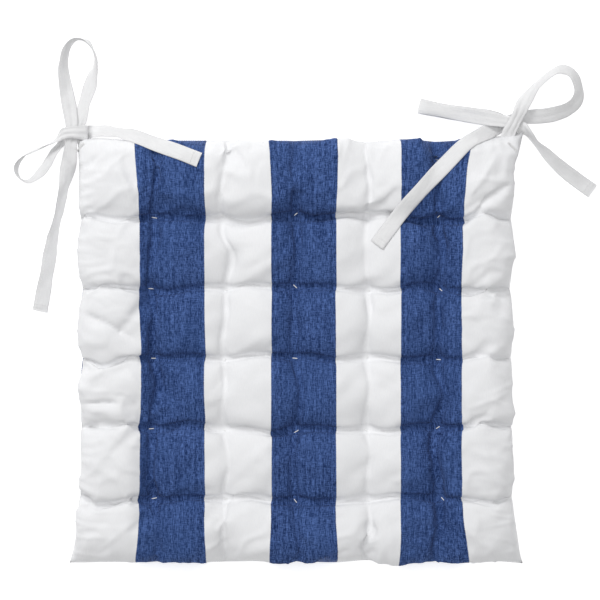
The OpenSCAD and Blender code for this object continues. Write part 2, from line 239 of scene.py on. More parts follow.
def curve_through(knots, steps):
    """A smooth curve through the points, with this many steps between two of them."""
    p = np.asarray(knots, float)
    p = np.concatenate([2 * p[:1] - p[1:2], p, 2 * p[-1:] - p[-2:-1]])
    out = []
    for k in range(1, len(p) - 2):
        for t in np.arange(steps) / steps:
            out.append(0.5 * (2 * p[k] + (p[k + 1] - p[k - 1]) * t
                              + (2 * p[k - 1] - 5 * p[k] + 4 * p[k + 1] - p[k + 2]) * t * t
                              + (3 * p[k] - p[k - 1] - 3 * p[k + 1] + p[k + 2]) * t ** 3))
    out.append(p[-2])
    return np.array(out)


def tube_faces(rings, sides):
    """Quads of a tube of rings, each with this many points."""
    return [(r * sides + k, r * sides + (k + 1) % sides,
             (r + 1) * sides + (k + 1) % sides, (r + 1) * sides + k)
            for r in range(rings - 1) for k in range(sides)]


def grid_quads(n):
    """Quads of a grid of n by n points, facing up."""
    ids = np.arange(n * n).reshape(n, n)
    return np.stack((ids[:-1, :-1], ids[:-1, 1:], ids[1:, 1:], ids[1:, :-1]), -1).reshape(-1, 4)


def turned_over(quads):
    """The same quads, facing the other way."""
    return quads[:, [0, 3, 2, 1]]


def rim_of(grid):
    """The outermost ring of a square grid, once round."""
    return np.concatenate([grid[0, :-1], grid[:-1, -1], grid[-1, :0:-1], grid[:0:-1, 0]])


def tube(path, radius, sides, ply=0.0, twist=0.0):
    """Points and faces of a thread along a path: ply is how deep its twist shows."""
    path = np.asarray(path, float)
    along = unit(np.gradient(path, axis=0))
    side = unit(np.cross(along[0], (0.3, 0.5, 0.81)))
    travelled = along_path(path)
    angle = np.arange(sides) * 2 * np.pi / sides
    rings = []
    for p, t, s in zip(path, along, travelled):
        side = unit(side - (side @ t) * t)
        up = np.cross(t, side)
        r = radius * (1 + ply * np.cos(2 * (angle - twist * s)))
        rings.append(p + (r * np.cos(angle))[:, None] * side + (r * np.sin(angle))[:, None] * up)
    points = np.concatenate(rings)
    faces = tube_faces(len(path), sides)
    faces.append(tuple(range(sides - 1, -1, -1)))
    faces.append(tuple(range(len(points) - sides, len(points))))
    return points, faces


def join_parts(parts):
    """One list of points and one of faces from several."""
    points, faces, count = [], [], 0
    for p, f in parts:
        points.append(p)
        faces += [tuple(i + count for i in face) for face in f]
        count += len(p)
    return np.concatenate(points), faces


# ---------------- materials

class Graph:
    """A node material, put together with few words."""

    def __init__(self, name):
        self.material = bpy.data.materials.new(name)
        self.material.use_nodes = True
        self.tree = self.material.node_tree
        self.tree.nodes.clear()

    def add(self, kind, sockets=(), out=0, **settings):
        made = self.tree.nodes.new("ShaderNode" + kind)
        for key, value in settings.items():
            setattr(made, key, value)
        for key, value in dict(sockets).items():
            if isinstance(value, bpy.types.NodeSocket):
                self.tree.links.new(value, made.inputs[key])
            else:
                made.inputs[key].default_value = value
        return made.outputs[out]

    def math(self, operation, a, b=0.0, clamp=False):
        return self.add("Math", {0: a, 1: b}, operation=operation, use_clamp=clamp)

    def place(self, name):
        return self.add("Attribute", out="Vector", attribute_name=name)

    def split(self, vector):
        node = self.tree.nodes.new("ShaderNodeSeparateXYZ")
        self.tree.links.new(vector, node.inputs[0])
        return node.outputs[0], node.outputs[1], node.outputs[2]

    def noise(self, place, scale, detail, roughness=0.5):
        """Noise with its own scale along each axis."""
        scaled = self.add("VectorMath", {0: place, 1: scale}, operation="MULTIPLY")
        return self.add("TexNoise", {"Vector": scaled, "Scale": 1.0, "Detail": detail,
                                     "Roughness": roughness})

    def span(self, value, low, high, to_low=0.0, to_high=1.0):
        return self.add("MapRange", {0: value, 1: low, 2: high, 3: to_low, 4: to_high})

    def mix(self, share, a, b):
        node = self.tree.nodes.new("ShaderNodeMix")
        node.data_type = "RGBA"
        for socket, value in ((node.inputs[0], share), (node.inputs[6], a), (node.inputs[7], b)):
            if isinstance(value, bpy.types.NodeSocket):
                self.tree.links.new(value, socket)
            else:
                socket.default_value = value
        return node.outputs[2]

    def weave(self, u, v, pitch):
        """Plain weave: 1 where the thread along v is on top, -1 where the thread along u is."""
        wave_u = self.math("SINE", self.math("MULTIPLY", u, math.pi / pitch))
        wave_v = self.math("SINE", self.math("MULTIPLY", v, math.pi / pitch))
        return self.math("MULTIPLY", wave_u, wave_v)

    def bump(self, height, distance, strength, under=None):
        sockets = {"Height": height, "Distance": distance, "Strength": strength}
        if under is not None:
            sockets["Normal"] = under
        return self.add("Bump", sockets)

    def finish(self, color, roughness, normal, **constants):
        shader = self.tree.nodes.new("ShaderNodeBsdfPrincipled")
        self.tree.links.new(color, shader.inputs["Base Color"])
        self.tree.links.new(roughness, shader.inputs["Roughness"])
        self.tree.links.new(normal, shader.inputs["Normal"])
        for key, value in constants.items():
            shader.inputs[key.replace("_", " ")].default_value = value
        end = self.tree.nodes.new("ShaderNodeOutputMaterial")
        self.tree.links.new(shader.outputs[0], end.inputs[0])
        return self.material


def rgb(red, green, blue):
    return (red, green, blue, 1.0)


def striped_cotton():
    """Plain-woven cotton with wide stripes: slubby blue yarn between plain white."""
    g = Graph("striped_cotton")
    flat = g.place("flat")
    u, v, _ = g.split(flat)
    fray = g.math("MULTIPLY", g.noise(flat, (900, 1800, 1), 1.0), 0.0006)
    from_middle = g.math("ADD", g.math("SUBTRACT", u, STRIPE_MIDDLE), fray)
    across = g.math("PINGPONG", from_middle, STRIPE_PERIOD / 2)
    blue_share = g.span(across, STRIPE_BLUE - 0.0001, STRIPE_BLUE + 0.0004, 1.0, 0.0)

    weave = g.weave(u, v, THREAD_PITCH)
    slub = g.noise(flat, (1500, 190, 1), 4.0, 0.75)
    broad = g.noise(flat, (480, 22, 1), 2.0, 0.6)
    weft = g.noise(flat, (210, 1150, 1), 3.0, 0.65)
    patch = g.noise(flat, (26, 14, 1), 2.0, 0.55)
    warp_light = g.math("ADD", g.span(slub, 0.36, 0.68, -0.12, 0.82), g.span(broad, 0.35, 0.65, -0.14, 0.16))
    weft_light = g.math("ADD", g.span(weave, -1.0, 1.0, -0.05, 0.07), g.span(weft, 0.38, 0.68, -0.20, 0.26))
    light = g.math("ADD", warp_light, weft_light, clamp=True)
    blue = g.mix(light, rgb(0.0065, 0.0220, 0.090), rgb(0.115, 0.205, 0.505))
    faded = g.mix(g.span(patch, 0.35, 0.7, 0.0, 0.25), blue, rgb(0.044, 0.096, 0.265))
    white = g.mix(g.span(slub, 0.3, 0.7), rgb(0.78, 0.785, 0.80), rgb(0.84, 0.842, 0.855))
    white = g.mix(g.span(patch, 0.35, 0.65, 0.0, 0.5), white, rgb(0.80, 0.805, 0.82))
    color = g.mix(blue_share, white, faded)

    crumple = g.noise(flat, (60, 45, 1), 4.0, 0.5)
    normal = g.bump(crumple, 0.0012, 0.18)
    thread = g.math("ADD", g.math("MULTIPLY", weave, 0.5), g.math("MULTIPLY", slub, 1.2))
    normal = g.bump(thread, 0.00012, 0.55, normal)
    roughness = g.span(slub, 0.3, 0.7, 0.92, 0.78)
    return g.finish(color, roughness, normal, Sheen_Weight=0.06, Sheen_Roughness=0.4,
                    Specular_IOR_Level=0.12)


def tie_cotton():
    """White cotton strip, folded and stitched: "strip" holds the place along and across it."""
    g = Graph("tie_cotton")
    strip = g.place("strip")
    s, u, _ = g.split(strip)
    weave = g.weave(u, s, TIE_PITCH)
    slub = g.noise(strip, (110, 1300, 1), 3.0, 0.6)
    patch = g.noise(strip, (45, 90, 1), 3.0, 0.55)
    color = g.mix(g.span(slub, 0.3, 0.7), rgb(0.705, 0.706, 0.716), rgb(0.785, 0.786, 0.79))
    color = g.mix(g.span(patch, 0.3, 0.75), color, rgb(0.735, 0.736, 0.742))
    # Painted shade: the colour turns grey towards the folded edges of the tie, where they curve away from the
    # light
    fold = g.math("ABSOLUTE", u)
    color = g.mix(g.span(fold, 0.0058, 0.0071, 0.0, 0.35), color, rgb(0.68, 0.68, 0.69))
    crease = g.noise(strip, (150, 210, 1), 4.0, 0.6)
    normal = g.bump(crease, 0.0012, 0.55)
    thread = g.math("ADD", g.math("MULTIPLY", weave, 0.5), slub)
    normal = g.bump(thread, 0.00011, 0.55, normal)
    roughness = g.span(patch, 0.3, 0.7, 0.93, 0.8)
    return g.finish(color, roughness, normal, Sheen_Weight=0.1, Sheen_Roughness=0.4,
                    Specular_IOR_Level=0.15)


def white_thread():
    """Spun cotton sewing thread: fine fibres wound round it."""
    g = Graph("white_thread")
    place = g.add("TexCoord", out="Object")
    fibre = g.noise(place, (2600, 2600, 2600), 3.0, 0.6)
    color = g.mix(g.span(fibre, 0.3, 0.7), rgb(0.78, 0.78, 0.79), rgb(0.90, 0.90, 0.89))
    normal = g.bump(fibre, 0.00008, 0.6)
    roughness = g.span(fibre, 0.3, 0.7, 0.75, 0.6)
    return g.finish(color, roughness, normal, Sheen_Weight=0.15, Sheen_Roughness=0.4)


def wadding():
    """Polyester wadding: matted white fibre."""
    g = Graph("wadding")
    place = g.add("TexCoord", out="Object")
    fibre = g.noise(place, (900, 260, 900), 5.0, 0.7)
    tuft = g.noise(place, (60, 60, 60), 4.0, 0.6)
    color = g.mix(g.span(fibre, 0.3, 0.7), rgb(0.82, 0.81, 0.79), rgb(0.93, 0.925, 0.91))
    normal = g.bump(g.math("ADD", fibre, tuft), 0.001, 0.6)
    roughness = g.span(fibre, 0.3, 0.7, 0.98, 0.88)
    return g.finish(color, roughness, normal, Sheen_Weight=0.4, Sheen_Roughness=0.6)


def pale_floor():
    """Plain pale surface, lit a little from within, like a bright studio sweep."""
    g = Graph("pale_floor")
    place = g.add("TexCoord", out="Object")
    grain = g.noise(place, (40, 40, 40), 3.0)
    color = g.mix(grain, rgb(0.95, 0.95, 0.95), rgb(0.97, 0.97, 0.97))
    normal = g.bump(grain, 0.0002, 0.1)
    return g.finish(color, g.span(grain, 0.3, 0.7, 0.9, 0.95), normal,
                    Emission_Color=rgb(1, 1, 1), Emission_Strength=0.45)


# ---------------- the stuffed cover

def middle(node):
    """Middle of a CAD node's box."""
    low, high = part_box(node)
    return (low + high) / 2


TUFT_X = [middle(f"tuft_thread_1_{column}").x for column in range(1, TUFTS + 1)]
TUFT_Y = [middle(f"tuft_thread_{row}_1").y for row in range(TUFTS, 0, -1)]
TUFT_LINES = [MARGIN_CELLS + PUFF_CELLS * k for k in range(TUFTS)]  # the mesh lines that they lie on
PAD_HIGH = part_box("top_panel")[1]
HALF_W = PAD_HIGH.x - SEAM_INSET
HALF_D = PAD_HIGH.y - SEAM_INSET


def mesh_lines(tufts, half):
    """Places of the mesh lines along one axis, and their grid coordinates: tufts at -2 to 2, seam at 3."""
    knots = [-half, *tufts, half]
    places, grid = [], []
    for k in range(TUFTS + 1):
        cells = MARGIN_CELLS if k in (0, TUFTS) else PUFF_CELLS
        step = np.arange(cells) / cells
        places.append(knots[k] + (knots[k + 1] - knots[k]) * step)
        grid.append(k - 3 + step)
    return np.append(np.concatenate(places), half), np.append(np.concatenate(grid), 3.0)


def bulged(place, other, half, outer_tuft, size, reach):
    """Lets the cloth out past the outer tufts, most at the middle of each side."""
    return place * (1 + size * (1 - (other / half) ** 2) * np.clip(np.abs(place) - outer_tuft, 0, 1) / reach)


def edge_share(a, b):
    """1 over the pad, rounding down to 0 at the seam."""
    def one(c):
        return np.sqrt(np.clip(1 - (np.clip(np.abs(c) - 2.5, 0, 1) / 0.5) ** 2, 0, 1))
    return one(a) * one(b)


def puff_share(a, b):
    """0 at a tuft and 1 at a crown, with low creases between the tufts."""
    def rise(c):
        return np.where(np.abs(c) > 2.5, 1, np.abs(np.sin(np.pi * c)))
    ra, rb = rise(a), rise(b)
    return 0.28 * ra * (1 - rb) + 0.40 * rb * (1 - ra) + ra * rb


class PadGrid:
    """The two panels as grids of points that share their outermost ring, the seam."""

    def __init__(self):
        xs, lines_a = mesh_lines(TUFT_X, HALF_W)
        ys, lines_b = mesh_lines(TUFT_Y, HALF_D)
        self.n = len(xs)
        self.x, self.y = np.meshgrid(xs, ys)
        self.a, self.b = np.meshgrid(lines_a, lines_b)
        self.inner = np.zeros((self.n, self.n), bool)
        self.inner[1:-1, 1:-1] = True
        count = self.n * self.n
        self.top = np.arange(count).reshape(self.n, self.n)
        self.bottom = self.top.copy()
        self.bottom[self.inner] = count + np.arange(self.inner.sum())

    def of_points(self, field):
        """A field of the grid, as one value for each point of the two panels."""
        return np.concatenate([field.ravel(), field[self.inner]])

    def faces(self):
        quads = grid_quads(self.n)
        up = self.top.ravel()[quads]
        down = self.bottom.ravel()[turned_over(quads)]
        return np.concatenate([up, down]).tolist()

    def start_points(self, rng):
        """The shape that is blown up: a slightly crumpled, quilted pillow."""
        share = edge_share(self.a, self.b)
        puff = puff_share(self.a, self.b)
        top_z = SEAM_HEIGHT + share * (START_HALF + START_CROWN * puff)
        bottom_z = SEAM_HEIGHT - share * (START_HALF + START_BELLY * puff)
        layers = []
        for z in (top_z, bottom_z):
            x = bulged(self.x, self.y, HALF_D, outer_tuft=0.131, size=0.012, reach=0.0148)
            y = bulged(self.y, self.x, HALF_W, outer_tuft=0.120, size=0.007, reach=0.0135)
            layers.append(np.stack([x, y, z], -1))
        points = np.concatenate([layers[0].reshape(-1, 3), layers[1][self.inner]])
        weight = self.of_points(share)
        x, y = points[:, 0].copy(), points[:, 1].copy()
        from_tuft = (self.a - np.round(self.a)) ** 2 + (self.b - np.round(self.b)) ** 2
        near_tuft = self.of_points(np.exp(-from_tuft / 0.05))
        free = weight * (1 - 0.65 * near_tuft)
        points[:, 0] += free * soft_field(rng, x, y, 0.05, 0.12, 0.0024)
        points[:, 1] += free * soft_field(rng, x, y, 0.045, 0.11, 0.0026)
        upper = soft_field(rng, x, y, 0.018, 0.05, 0.0008)
        lower = soft_field(rng, x, y, 0.018, 0.05, 0.0008)
        is_lower = np.arange(len(points)) >= self.n * self.n
        points[:, 2] += weight * np.where(is_lower, lower, upper)
        return points

    def flat_places(self, start):
        """Where each point lies on the flat cloth: the stripes narrow a little where tufts gather them."""
        x, y = start[self.top][..., 0], start[self.top][..., 1]
        inner = np.clip((2.9 - np.abs(self.b)) / 0.6, 0, 1)
        loose = np.where(self.b > 0, 0.97, 0.983)
        between_tufts = np.sin(2 * np.pi * x / (2 * (TUFT_X[1] - TUFT_X[0])))
        u = x * (loose + (1 - loose) * inner) + inner * GATHER * between_tufts
        drift = DRIFT * np.cos(2 * np.pi * x / DRIFT_PERIOD)
        u -= np.sign(x) * 0.14 * np.clip(np.abs(x) - 0.150, 0, 1) + drift
        return np.stack([u, y, np.zeros_like(u)], -1)

    def pins(self):
        """The points that the tuft threads hold, on both panels."""
        return [int(layer[j, i]) for layer in (self.top, self.bottom) for j in TUFT_LINES for i in TUFT_LINES]


def swell(grid, points):
    """Blows the cover up with Blender's Cloth, held at the tufts, and returns its points."""
    pad = make_object("cover_in_one", points, grid.faces())
    group = pad.vertex_groups.new(name="tufts")
    group.add(grid.pins(), 1.0, "REPLACE")
    cloth = pad.modifiers.new("Cloth", "CLOTH")
    s = cloth.settings
    s.vertex_group_mass = "tufts"
    s.use_pressure = True
    s.uniform_pressure_force = 4.0
    s.mass = 0.2
    s.quality = 5
    s.tension_stiffness = s.compression_stiffness = 12.0
    s.shear_stiffness = 6.0
    s.bending_stiffness = 0.05
    s.tension_damping = s.compression_damping = s.shear_damping = 5.0
    s.bending_damping = 0.5
    s.air_damping = 2.0
    s.effector_weights.gravity = 0.0
    cloth.collision_settings.use_collision = False
    cloth.collision_settings.use_self_collision = False
    cloth.point_cache.frame_end = SWELL_FRAMES + 1
    for step in range(1, SWELL_FRAMES + 1):
        bpy.context.scene.frame_set(step)
    result = pad.evaluated_get(bpy.context.evaluated_depsgraph_get()).to_mesh()
    swollen = np.empty(len(result.vertices) * 3)
    result.vertices.foreach_get("co", swollen)
    bpy.data.objects.remove(pad)
    bpy.context.scene.frame_set(1)
    return swollen.reshape(-1, 3)


def refine(field):
    """Twice the resolution of a grid, along smooth curves through its points."""
    for axis in (0, 1):
        f = np.moveaxis(field, axis, 0)
        before = np.concatenate([2 * f[:1] - f[1:2], f[:-2]])
        after = np.concatenate([f[2:], 2 * f[-1:] - f[-2:-1]])
        between = (9 * (f[:-1] + f[1:]) - before - after) / 16
        finer = np.empty((2 * len(f) - 1, *f.shape[1:]))
        finer[::2] = f
        finer[1::2] = between
        field = np.moveaxis(finer, 0, axis)
    return field


def grid_normals(points):
    """The way out of a grid of points that faces up, at each of them."""
    du = np.gradient(points, axis=1)
    dv = np.gradient(points, axis=0)
    return unit(np.cross(du, dv))


def near_line(c, width):
    """1 on a tuft line and falling away from it with a sharp peak; width is in grid steps."""
    away = np.abs(c - np.clip(np.round(c), -2, 2))
    return np.exp(-away / width)


def smooth_step(t):
    """0 up to t = 0 and 1 from t = 1, with soft ends between."""
    t = np.clip(t, 0, 1)
    return t * t * (3 - 2 * t)


def fit_to_frame(points, grid, rng):
    """Brings the seam of the swollen cover to the CAD panel's outline; the tufted middle stays."""
    points = points.copy()
    ring = points[grid.top]
    wave = soft_field(rng, np.linspace(0, 0.4, grid.n), np.zeros(grid.n), 0.03, 0.09, 0.0005)
    for axis, cross, c, edge in ((0, 1, grid.a, PAD_HIGH.x), (1, 0, grid.b, PAD_HIGH.y)):
        for side, k in ((-1, 0), (1, -1)):
            seam = ring[:, k] if axis == 0 else ring[k, :]
            bow = SIDE_PULL * (1 - (seam[:, cross] / HALF_D) ** 4) if axis == 0 else 0
            move = side * (edge - np.clip(bow, 0, 1)) - seam[:, axis] + wave[::side]
            share = smooth_step(side * c - 2) * (move[:, None] if axis == 0 else move[None, :])
            points[:, axis] += grid.of_points(share)
    a, b = grid.of_points(grid.a / 3), grid.of_points(grid.b / 3)
    back = np.clip(b, 0, 1) ** 8 * np.abs(a) ** 8           # 1 at the back corners, 0 away from them
    front = np.clip(-b, 0, 1) ** 14 * np.abs(a) ** 14       # the same at the front, more narrowly
    points[:, 0] += np.sign(a) * front * EAR
    points[:, 1] -= front * EAR * 0.2
    for side, (right, up) in CORNER_PULLS.items():
        here = back * (a < 0 if side == "left" else a > 0)
        points[:, 0] += here * right
        points[:, 1] += here * up
    neck = np.clip(a, 0, 1) ** 8 * np.exp(-((b - 0.86) / 0.05) ** 2)
    points[:, 0] -= neck * NECK
    return points


def rounded_off(z):
    """Flattens the crowns: the stuffing fills each puff evenly and falls away only near its creases."""
    share = np.clip((z - SEAM_HEIGHT) / (SWOLLEN_HEIGHT - SEAM_HEIGHT), 0, 1)
    settled = SEAM_HEIGHT + (CROWN_HEIGHT - SEAM_HEIGHT) * (1 - (1 - share) ** 1.6)
    return np.where(z > SEAM_HEIGHT, settled, z)


def press_flat(z, softness=0.0012):
    """Keeps the pad above the surface that it lies on, with a soft bend where it meets it."""
    return 0.5 * (z + np.sqrt(z * z + softness * softness))


def drawn_to_lines(points, c, axis, shares, width):
    """Pulls the cloth beside each tuft line towards it, so that the puffs meet in a narrow crease."""
    field = np.moveaxis(points, axis, 0)
    place = np.moveaxis(c, axis, 0)[:, 0]
    out = field.copy()
    for k, at in enumerate(place):
        nearest = min(max(round(float(at)), -2), 2)
        line = int(np.argmin(np.abs(place - nearest)))
        pull = shares[nearest + 2] * math.exp(-abs(at - nearest) / width)
        out[k, :, :2] += pull * (field[line, :, :2] - field[k, :, :2])
    return np.moveaxis(out, 0, axis)


def tuft_share(a, b):
    """1 at a tuft, falling away from it with a sharp peak."""
    return near_line(a, TUFT_SPREAD) * near_line(b, TUFT_SPREAD)


def crease_share(a, b):
    """1 over the pad; it fades towards the seam, but the creases still reach it."""
    return edge_share(a * 0.985, b * 0.985)


def folds_at(x, y):
    """Height of the larger folds that the corners and the stuffing raise in the margins."""
    total = np.zeros_like(x)
    for (x0, y0), (x1, y1), height, width in FOLDS:
        length = math.hypot(x1 - x0, y1 - y0)
        way_x, way_y = (x1 - x0) / length, (y1 - y0) / length
        along = (x - x0) * way_x + (y - y0) * way_y
        aside = (y - y0) * way_x - (x - x0) * way_y - 0.06 * along * np.sin(np.pi * along / length)
        taper = smooth_step(along / (0.35 * length)) * smooth_step((length - along) / (0.35 * length))
        total += height * taper * np.exp(-np.abs(aside) / width)
    return total


def seam_puckers(rng, into, beside, c):
    """Small folds that run in from the seam; into is the way to the seam and c its grid coordinate."""
    fold = np.abs(soft_field(rng, into * 0.28, beside, 0.012, 0.036, 1.0))
    return np.clip(1 - 1.5 * fold, 0, 1) * 0.0011 * np.clip((np.abs(c) - 2.15) / 0.85, 0, 1)


def crease_depth(a, b, uneven, deepest):
    """How far the threads draw the cloth in: sharply along the rows, softly along the columns."""
    row = near_line(b, 0.055) * ROW_CREASE
    slack = 1 - SLACK_COLUMNS * np.exp(-((np.abs(a) - 1) / 0.3) ** 2)
    column = near_line(a, 0.10) * COLUMN_CREASE * uneven * slack
    depth = crease_share(a, b) * (row + column + tuft_share(a, b) * TUFT_DIMPLE)
    return depth / (1 + (depth / deepest) ** 4) ** 0.25


def creased(points, a, b, rng, up):
    """Draws the cloth sharply into the creases and tufts, and adds its small wrinkles."""
    points = drawn_to_lines(points, b, 0, ROW_DRAW, 0.11)
    points = drawn_to_lines(points, a, 1, COLUMN_DRAW, 0.10)
    x, y = points[..., 0], points[..., 1]
    out = np.maximum(np.abs(a), np.abs(b))
    margin = np.clip(out - 1.9, 0, 0.4) / 0.4
    uneven = np.clip(0.8 + soft_field(rng, x, y, 0.03, 0.08, 0.35), 0.2, MOST_UNEVEN)
    wrinkle = np.abs(soft_field(rng, x, y, 0.03, 0.09, 1.0))
    ridge = np.clip(1 - 1.5 * wrinkle, 0, 1) * (0.0003 + 0.0009 * margin) * (1 - tuft_share(a, b))
    crumple = soft_field(rng, x, y, 0.010, 0.024, 0.00007)
    pucker = seam_puckers(rng, x, y, a) + seam_puckers(rng, y, x, b)
    fold = folds_at(x, y) if up else 0
    depth = crease_depth(a, b, uneven, DEEPEST["top" if up else "bottom"])
    depth = depth - crease_share(a, b) * ridge - crumple - pucker - fold
    fade = np.clip((3 - out) / 0.06, 0, 1)
    side = grid_normals(points) * (1 if up else -1)
    return points - side * (depth * fade)[..., None]


def tucked_in(points):
    """Keeps the swollen cloth from standing out past the seam, which is the outline seen from above."""
    points = points.copy()
    for axis, along in ((0, 1), (1, 0)):
        field = np.moveaxis(points[..., axis], along, 0)
        for side, seam in ((1, field[-1]), (-1, field[0])):
            past = np.clip(side * (field - seam), 0, None)
            field -= side * past * 0.85
    return points


def scalloped(points, a, b):
    """Draws the seam in at the end of each crease, so that the outline follows the puffs."""
    points = points.copy()
    near_side = np.clip((np.abs(a) - 2.2) / 0.8, 0, 1)
    near_end = np.clip((np.abs(b) - 2.2) / 0.8, 0, 1)
    points[..., 0] -= np.sign(a) * near_side * near_line(b, 0.14) * 0.0022
    points[..., 1] -= np.sign(b) * near_end * near_line(a, 0.20) * 0.0010
    return points


def panel_object(name, points, flat, up):
    """A panel of cloth from its outer surface, with real thickness added on the inside."""
    quads = grid_quads(len(points))
    faces = quads if up else turned_over(quads)
    made = make_object(name, points.reshape(-1, 3), faces.tolist())
    store(made, "flat", flat.reshape(-1, 3))
    solid = made.modifiers.new("thickness", "SOLIDIFY")
    solid.thickness = CLOTH
    solid.offset = -1
    return made


def part_lips(points, a, b, up):
    """Opens the fine groove of the seam: each panel's edge sits just clear of the other's."""
    near = np.clip((np.maximum(np.abs(a), np.abs(b)) - 2.9) / 0.1, 0, 1)
    points = points.copy()
    points[..., 2] += near * (0.0006 if up else -0.0006)
    return points


def build_cover():
    """The top and bottom panels, the grids of their outer surfaces, and the wadding inside them."""
    rng = np.random.default_rng(3)
    grid = PadGrid()
    points = grid.start_points(rng)
    flat = refine(grid.flat_places(points))
    points = swell(grid, points)
    points = fit_to_frame(points, grid, rng)
    points[:, 2] = press_flat(rounded_off(points[:, 2]))
    a, b = refine(grid.a), refine(grid.b)
    surfaces, stuffed = {}, {}
    for key, ids, up in (("top", grid.top, True), ("bottom", grid.bottom, False)):
        stuffed[key] = scalloped(tucked_in(refine(points[ids])), a, b)
        surface = creased(stuffed[key], a, b, rng, up)
        if not up:
            surface[..., 2] = press_flat(surface[..., 2], 0.0006)
        surfaces[key] = part_lips(surface, a, b, up)
    top = panel_object("cover_top", surfaces["top"], flat, True)
    own_noise = flat + (0, 0, 1)    # the bottom has the same stripes, but not the same yarn
    bottom = panel_object("cover_bottom", surfaces["bottom"], own_noise, False)
    return top, bottom, surfaces, build_wadding(stuffed, surfaces, a, b)


def surface_tree(points):
    """A panel's outer surface, ready for finding the nearest point on it or the height at a place."""
    return BVHTree.FromPolygons([Vector(p) for p in points.reshape(-1, 3)], grid_quads(len(points)).tolist())


def kept_under(top, bottom, tree):
    """Draws in the few points of the wadding that would still touch the cloth above them."""
    top = top.copy()
    for _ in range(6):
        for place in np.ndindex(top.shape[:2]):
            at = Vector(top[place])
            nearest, outward, _, _ = tree.find_nearest(at)
            if (at - nearest).dot(outward) > -(CLOTH + 0.0003):
                top[place] += (bottom[place] - top[place]) * 0.12
    return top


def build_wadding(stuffed, surfaces, a, b):
    """The wadding: fills the cover as it is before it is creased, clear of every crease and tuft."""
    keep = slice(4, -4, 2)      # every second point, and none beside the seam
    layers = {}
    for key, way in (("top", -1), ("bottom", 1)):
        clear = WADDING_CLEAR + 1.05 * crease_depth(a, b, MOST_UNEVEN, DEEPEST[key])
        if key == "top":
            clear += np.clip(-1.5 * folds_at(stuffed[key][..., 0], stuffed[key][..., 1]), 0, None)
        shell = stuffed[key] + way * grid_normals(stuffed[key]) * clear[..., None]
        layers[key] = shell[keep, keep]
    bottom = layers["bottom"]
    top = kept_under(layers["top"], bottom, surface_tree(surfaces["top"]))
    n = len(top)
    count = n * n
    rim = rim_of(np.arange(count).reshape(n, n))
    up = grid_quads(n)
    down = up[:, ::-1] + count
    sides = np.stack((rim, rim + count, np.roll(rim, -1) + count, np.roll(rim, -1)), -1)
    faces = np.concatenate([up, down, sides]).tolist()
    return make_object("wadding", np.concatenate([top.reshape(-1, 3), bottom.reshape(-1, 3)]), faces)


# ---------------- sewing threads

def height_on(tree, x, y, fallback=None):
    """Height of the top cloth at a place, or the fallback outside the pad."""
    hit = tree.ray_cast(Vector((x, y, 0.2)), Vector((0, 0, -1)))
    return hit[0].z if hit[0] is not None else fallback


def tuft_turn(row, column):
    """Turn of a tuft's bar of stitches, as in the CAD model."""
    return math.radians(5 * row - 15 if column == 1 else (37 * row + 61 * column) % 120 - 60)


def build_tuft(row, column, surfaces):
    """One tuft: a two-ply thread that shows as a short bar on each face and passes through the pad."""
    place = 2 * TUFT_LINES[TUFTS - row], 2 * TUFT_LINES[column - 1]
    top, bottom = surfaces["top"][place], surfaces["bottom"][place]
    turn = tuft_turn(row, column)
    way = np.array([math.cos(turn), math.sin(turn), 0.0])
    bar, aside, lip = way * TUFT_BAR, way * 0.0006, (0, 0, 0.0001)
    over, under = top + (0, 0, 0.0011), bottom - (0, 0, 0.0008)
    inner_top, inner_bottom = top - (0, 0, 0.003), bottom + (0, 0, 0.003)
    waist = (inner_top + inner_bottom) / 2
    knots = [over - bar * 0.2, over + bar * 0.7, top + bar * 1.05 + lip, inner_top + bar * 0.6,
             waist + aside, inner_bottom + bar * 0.6, bottom + bar, under + bar * 0.6,
             under - bar * 0.6, bottom - bar, inner_bottom - bar * 0.6, waist - aside,
             inner_top - bar * 0.6, top - bar * 1.05 + lip, over - bar * 0.7, over + bar * 0.2]
    points, faces = tube(curve_through(knots, 6), TUFT_THREAD, 8, ply=0.18, twist=3200)
    return make_object(f"tuft_{row}_{column}", points, faces)


def stitch(start, end, lift, radius):
    """One stitch of sewing thread, bowed up by lift between its two holes."""
    t = np.linspace(0, 1, 6)[:, None]
    path = start + (end - start) * t + lift * np.sin(np.pi * t)
    return tube(path, radius, 6)


def build_seam(surfaces):
    """The stitches that close the cover, in the groove between the two panels."""
    ring = rim_of((surfaces["top"] + surfaces["bottom"]) / 2)
    inward = -unit(ring * (1, 1, 0))
    parts = []
    for k in range(len(ring) - 1):
        a, b = ring[k], ring[k + 1]
        start = a + (b - a) * 0.12 + inward[k] * 0.0002
        end = b + (a - b) * 0.12 + inward[k] * 0.0002
        parts.append(stitch(start, end, -inward[k] * 0.00035, 0.0002))
    return make_object("seam_stitches", *join_parts(parts))


def build_bartack(name, node, tree):
    """A dense bar of zigzag stitches over the corner where a pair of ties is sewn in."""
    at = middle(node)
    low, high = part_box(node)
    half = (high.x - low.x) / 2 * math.sqrt(2) * 0.9
    turn = math.radians(math.copysign(45, -at.x))
    way = np.array([math.cos(turn), math.sin(turn), 0.0])
    across = np.array([-way[1], way[0], 0.0])
    steps = 10 * CORNER_TURNS
    path = []
    for k in range(steps + 1):
        t = k / steps
        angle = 2 * np.pi * CORNER_TURNS * t
        flat = np.array([at.x, at.y, 0.0]) + way * half * (2 * t - 1) + across * CORNER_HALF * math.cos(angle)
        base = height_on(tree, flat[0], flat[1], at.z)
        path.append(flat + np.array([0, 0, base + 0.0002 + 0.0006 * math.sin(angle)]))
    return make_object(name, *tube(path, CORNER_THREAD, 6))


# ---------------- ties

ACROSS = np.linspace(-0.5, 0.5, TAPE_SIDES + 1)     # places across a tie, as shares of its width


